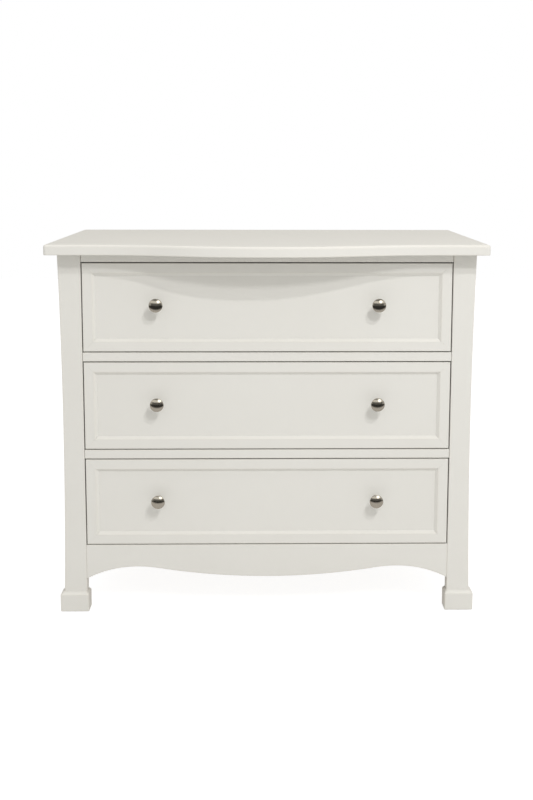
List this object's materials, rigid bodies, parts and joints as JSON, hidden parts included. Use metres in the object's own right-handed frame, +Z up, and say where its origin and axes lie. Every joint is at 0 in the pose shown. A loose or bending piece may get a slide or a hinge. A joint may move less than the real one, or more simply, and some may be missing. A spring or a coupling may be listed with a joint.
{
  "type": "chest of drawers",
  "caption": "Painted bow-fronted chest of drawers with a curved top, a shaped apron, block feet, mitred-frame drawer fronts, dome knobs and telescopic drawer slides.",
  "frame": {"origin": "centre of the footprint at floor level, under the middle of the top's outline", "axes": "+X across the width to the right of someone facing the drawers, +Y to the back (the drawers open towards -Y), +Z up"},
  "size_m": [0.97, 0.516, 0.85],
  "materials": {
    "painted_wood": "satin off-white paint",
    "raw_wood": "planed, uncoated",
    "drawer_wood": "clear lacquer",
    "drawer_board": "clear lacquered plywood",
    "back_board": "smooth hardboard",
    "nickel": "satin-polished nickel",
    "zinc_steel": "bright zinc plate",
    "nylon": "moulded"
  },
  "bodies": {
    "case": {"top_panel": "painted_wood", "front_post_left": "painted_wood", "front_post_right": "painted_wood", "rear_post_left": "painted_wood", "rear_post_right": "painted_wood", "front_foot_left": "painted_wood", "front_foot_right": "painted_wood", "rear_foot_left": "painted_wood", "rear_foot_right": "painted_wood", "floor_glides": "nylon", "side_panel_left": "painted_wood", "side_panel_right": "painted_wood", "top_rail": "painted_wood", "upper_middle_rail": "painted_wood", "lower_middle_rail": "painted_wood", "apron": "painted_wood", "rear_top_rail": "raw_wood", "rear_bottom_rail": "raw_wood", "back_panel": "back_board", "corner_blocks": "raw_wood", "slide_battens": "raw_wood", "slide_outer_members": "zinc_steel", "top_screws": "zinc_steel", "rail_dowels": "raw_wood"},
    "upper_drawer": {"upper_front_panel": "painted_wood", "upper_front_rails": "painted_wood", "upper_front_stiles": "painted_wood", "upper_box_sides": "drawer_wood", "upper_box_front": "drawer_wood", "upper_box_back": "drawer_wood", "upper_box_bottom": "drawer_board", "upper_knob_left": "nickel", "upper_knob_right": "nickel", "upper_knob_screws": "zinc_steel", "upper_slide_inner_members": "zinc_steel"},
    "upper_slide_middles": {"upper_slide_middle_members": "zinc_steel"},
    "middle_drawer": {"middle_front_panel": "painted_wood", "middle_front_rails": "painted_wood", "middle_front_stiles": "painted_wood", "middle_box_sides": "drawer_wood", "middle_box_front": "drawer_wood", "middle_box_back": "drawer_wood", "middle_box_bottom": "drawer_board", "middle_knob_left": "nickel", "middle_knob_right": "nickel", "middle_knob_screws": "zinc_steel", "middle_slide_inner_members": "zinc_steel"},
    "middle_slide_middles": {"middle_slide_middle_members": "zinc_steel"},
    "lower_drawer": {"lower_front_panel": "painted_wood", "lower_front_rails": "painted_wood", "lower_front_stiles": "painted_wood", "lower_box_sides": "drawer_wood", "lower_box_front": "drawer_wood", "lower_box_back": "drawer_wood", "lower_box_bottom": "drawer_board", "lower_knob_left": "nickel", "lower_knob_right": "nickel", "lower_knob_screws": "zinc_steel", "lower_slide_inner_members": "zinc_steel"},
    "lower_slide_middles": {"lower_slide_middle_members": "zinc_steel"}
  },
  "joints": [
    {"name": "upper_drawer_slide", "type": "slide", "parent": "case", "child": "upper_drawer", "axis": [0, -1, 0], "range_m": [0, 0.33]},
    {"name": "upper_middle_member_slide", "type": "slide", "parent": "case", "child": "upper_slide_middles", "axis": [0, -1, 0], "range_m": [0, 0.165]},
    {"name": "middle_drawer_slide", "type": "slide", "parent": "case", "child": "middle_drawer", "axis": [0, -1, 0], "range_m": [0, 0.33]},
    {"name": "middle_middle_member_slide", "type": "slide", "parent": "case", "child": "middle_slide_middles", "axis": [0, -1, 0], "range_m": [0, 0.165]},
    {"name": "lower_drawer_slide", "type": "slide", "parent": "case", "child": "lower_drawer", "axis": [0, -1, 0], "range_m": [0, 0.33]},
    {"name": "lower_middle_member_slide", "type": "slide", "parent": "case", "child": "lower_slide_middles", "axis": [0, -1, 0], "range_m": [0, 0.165]}
  ],
  "couplings": [
    {"joint": "upper_middle_member_slide", "follows": "upper_drawer_slide", "ratio": 0.5},
    {"joint": "middle_middle_member_slide", "follows": "middle_drawer_slide", "ratio": 0.5},
    {"joint": "lower_middle_member_slide", "follows": "lower_drawer_slide", "ratio": 0.5}
  ]
}
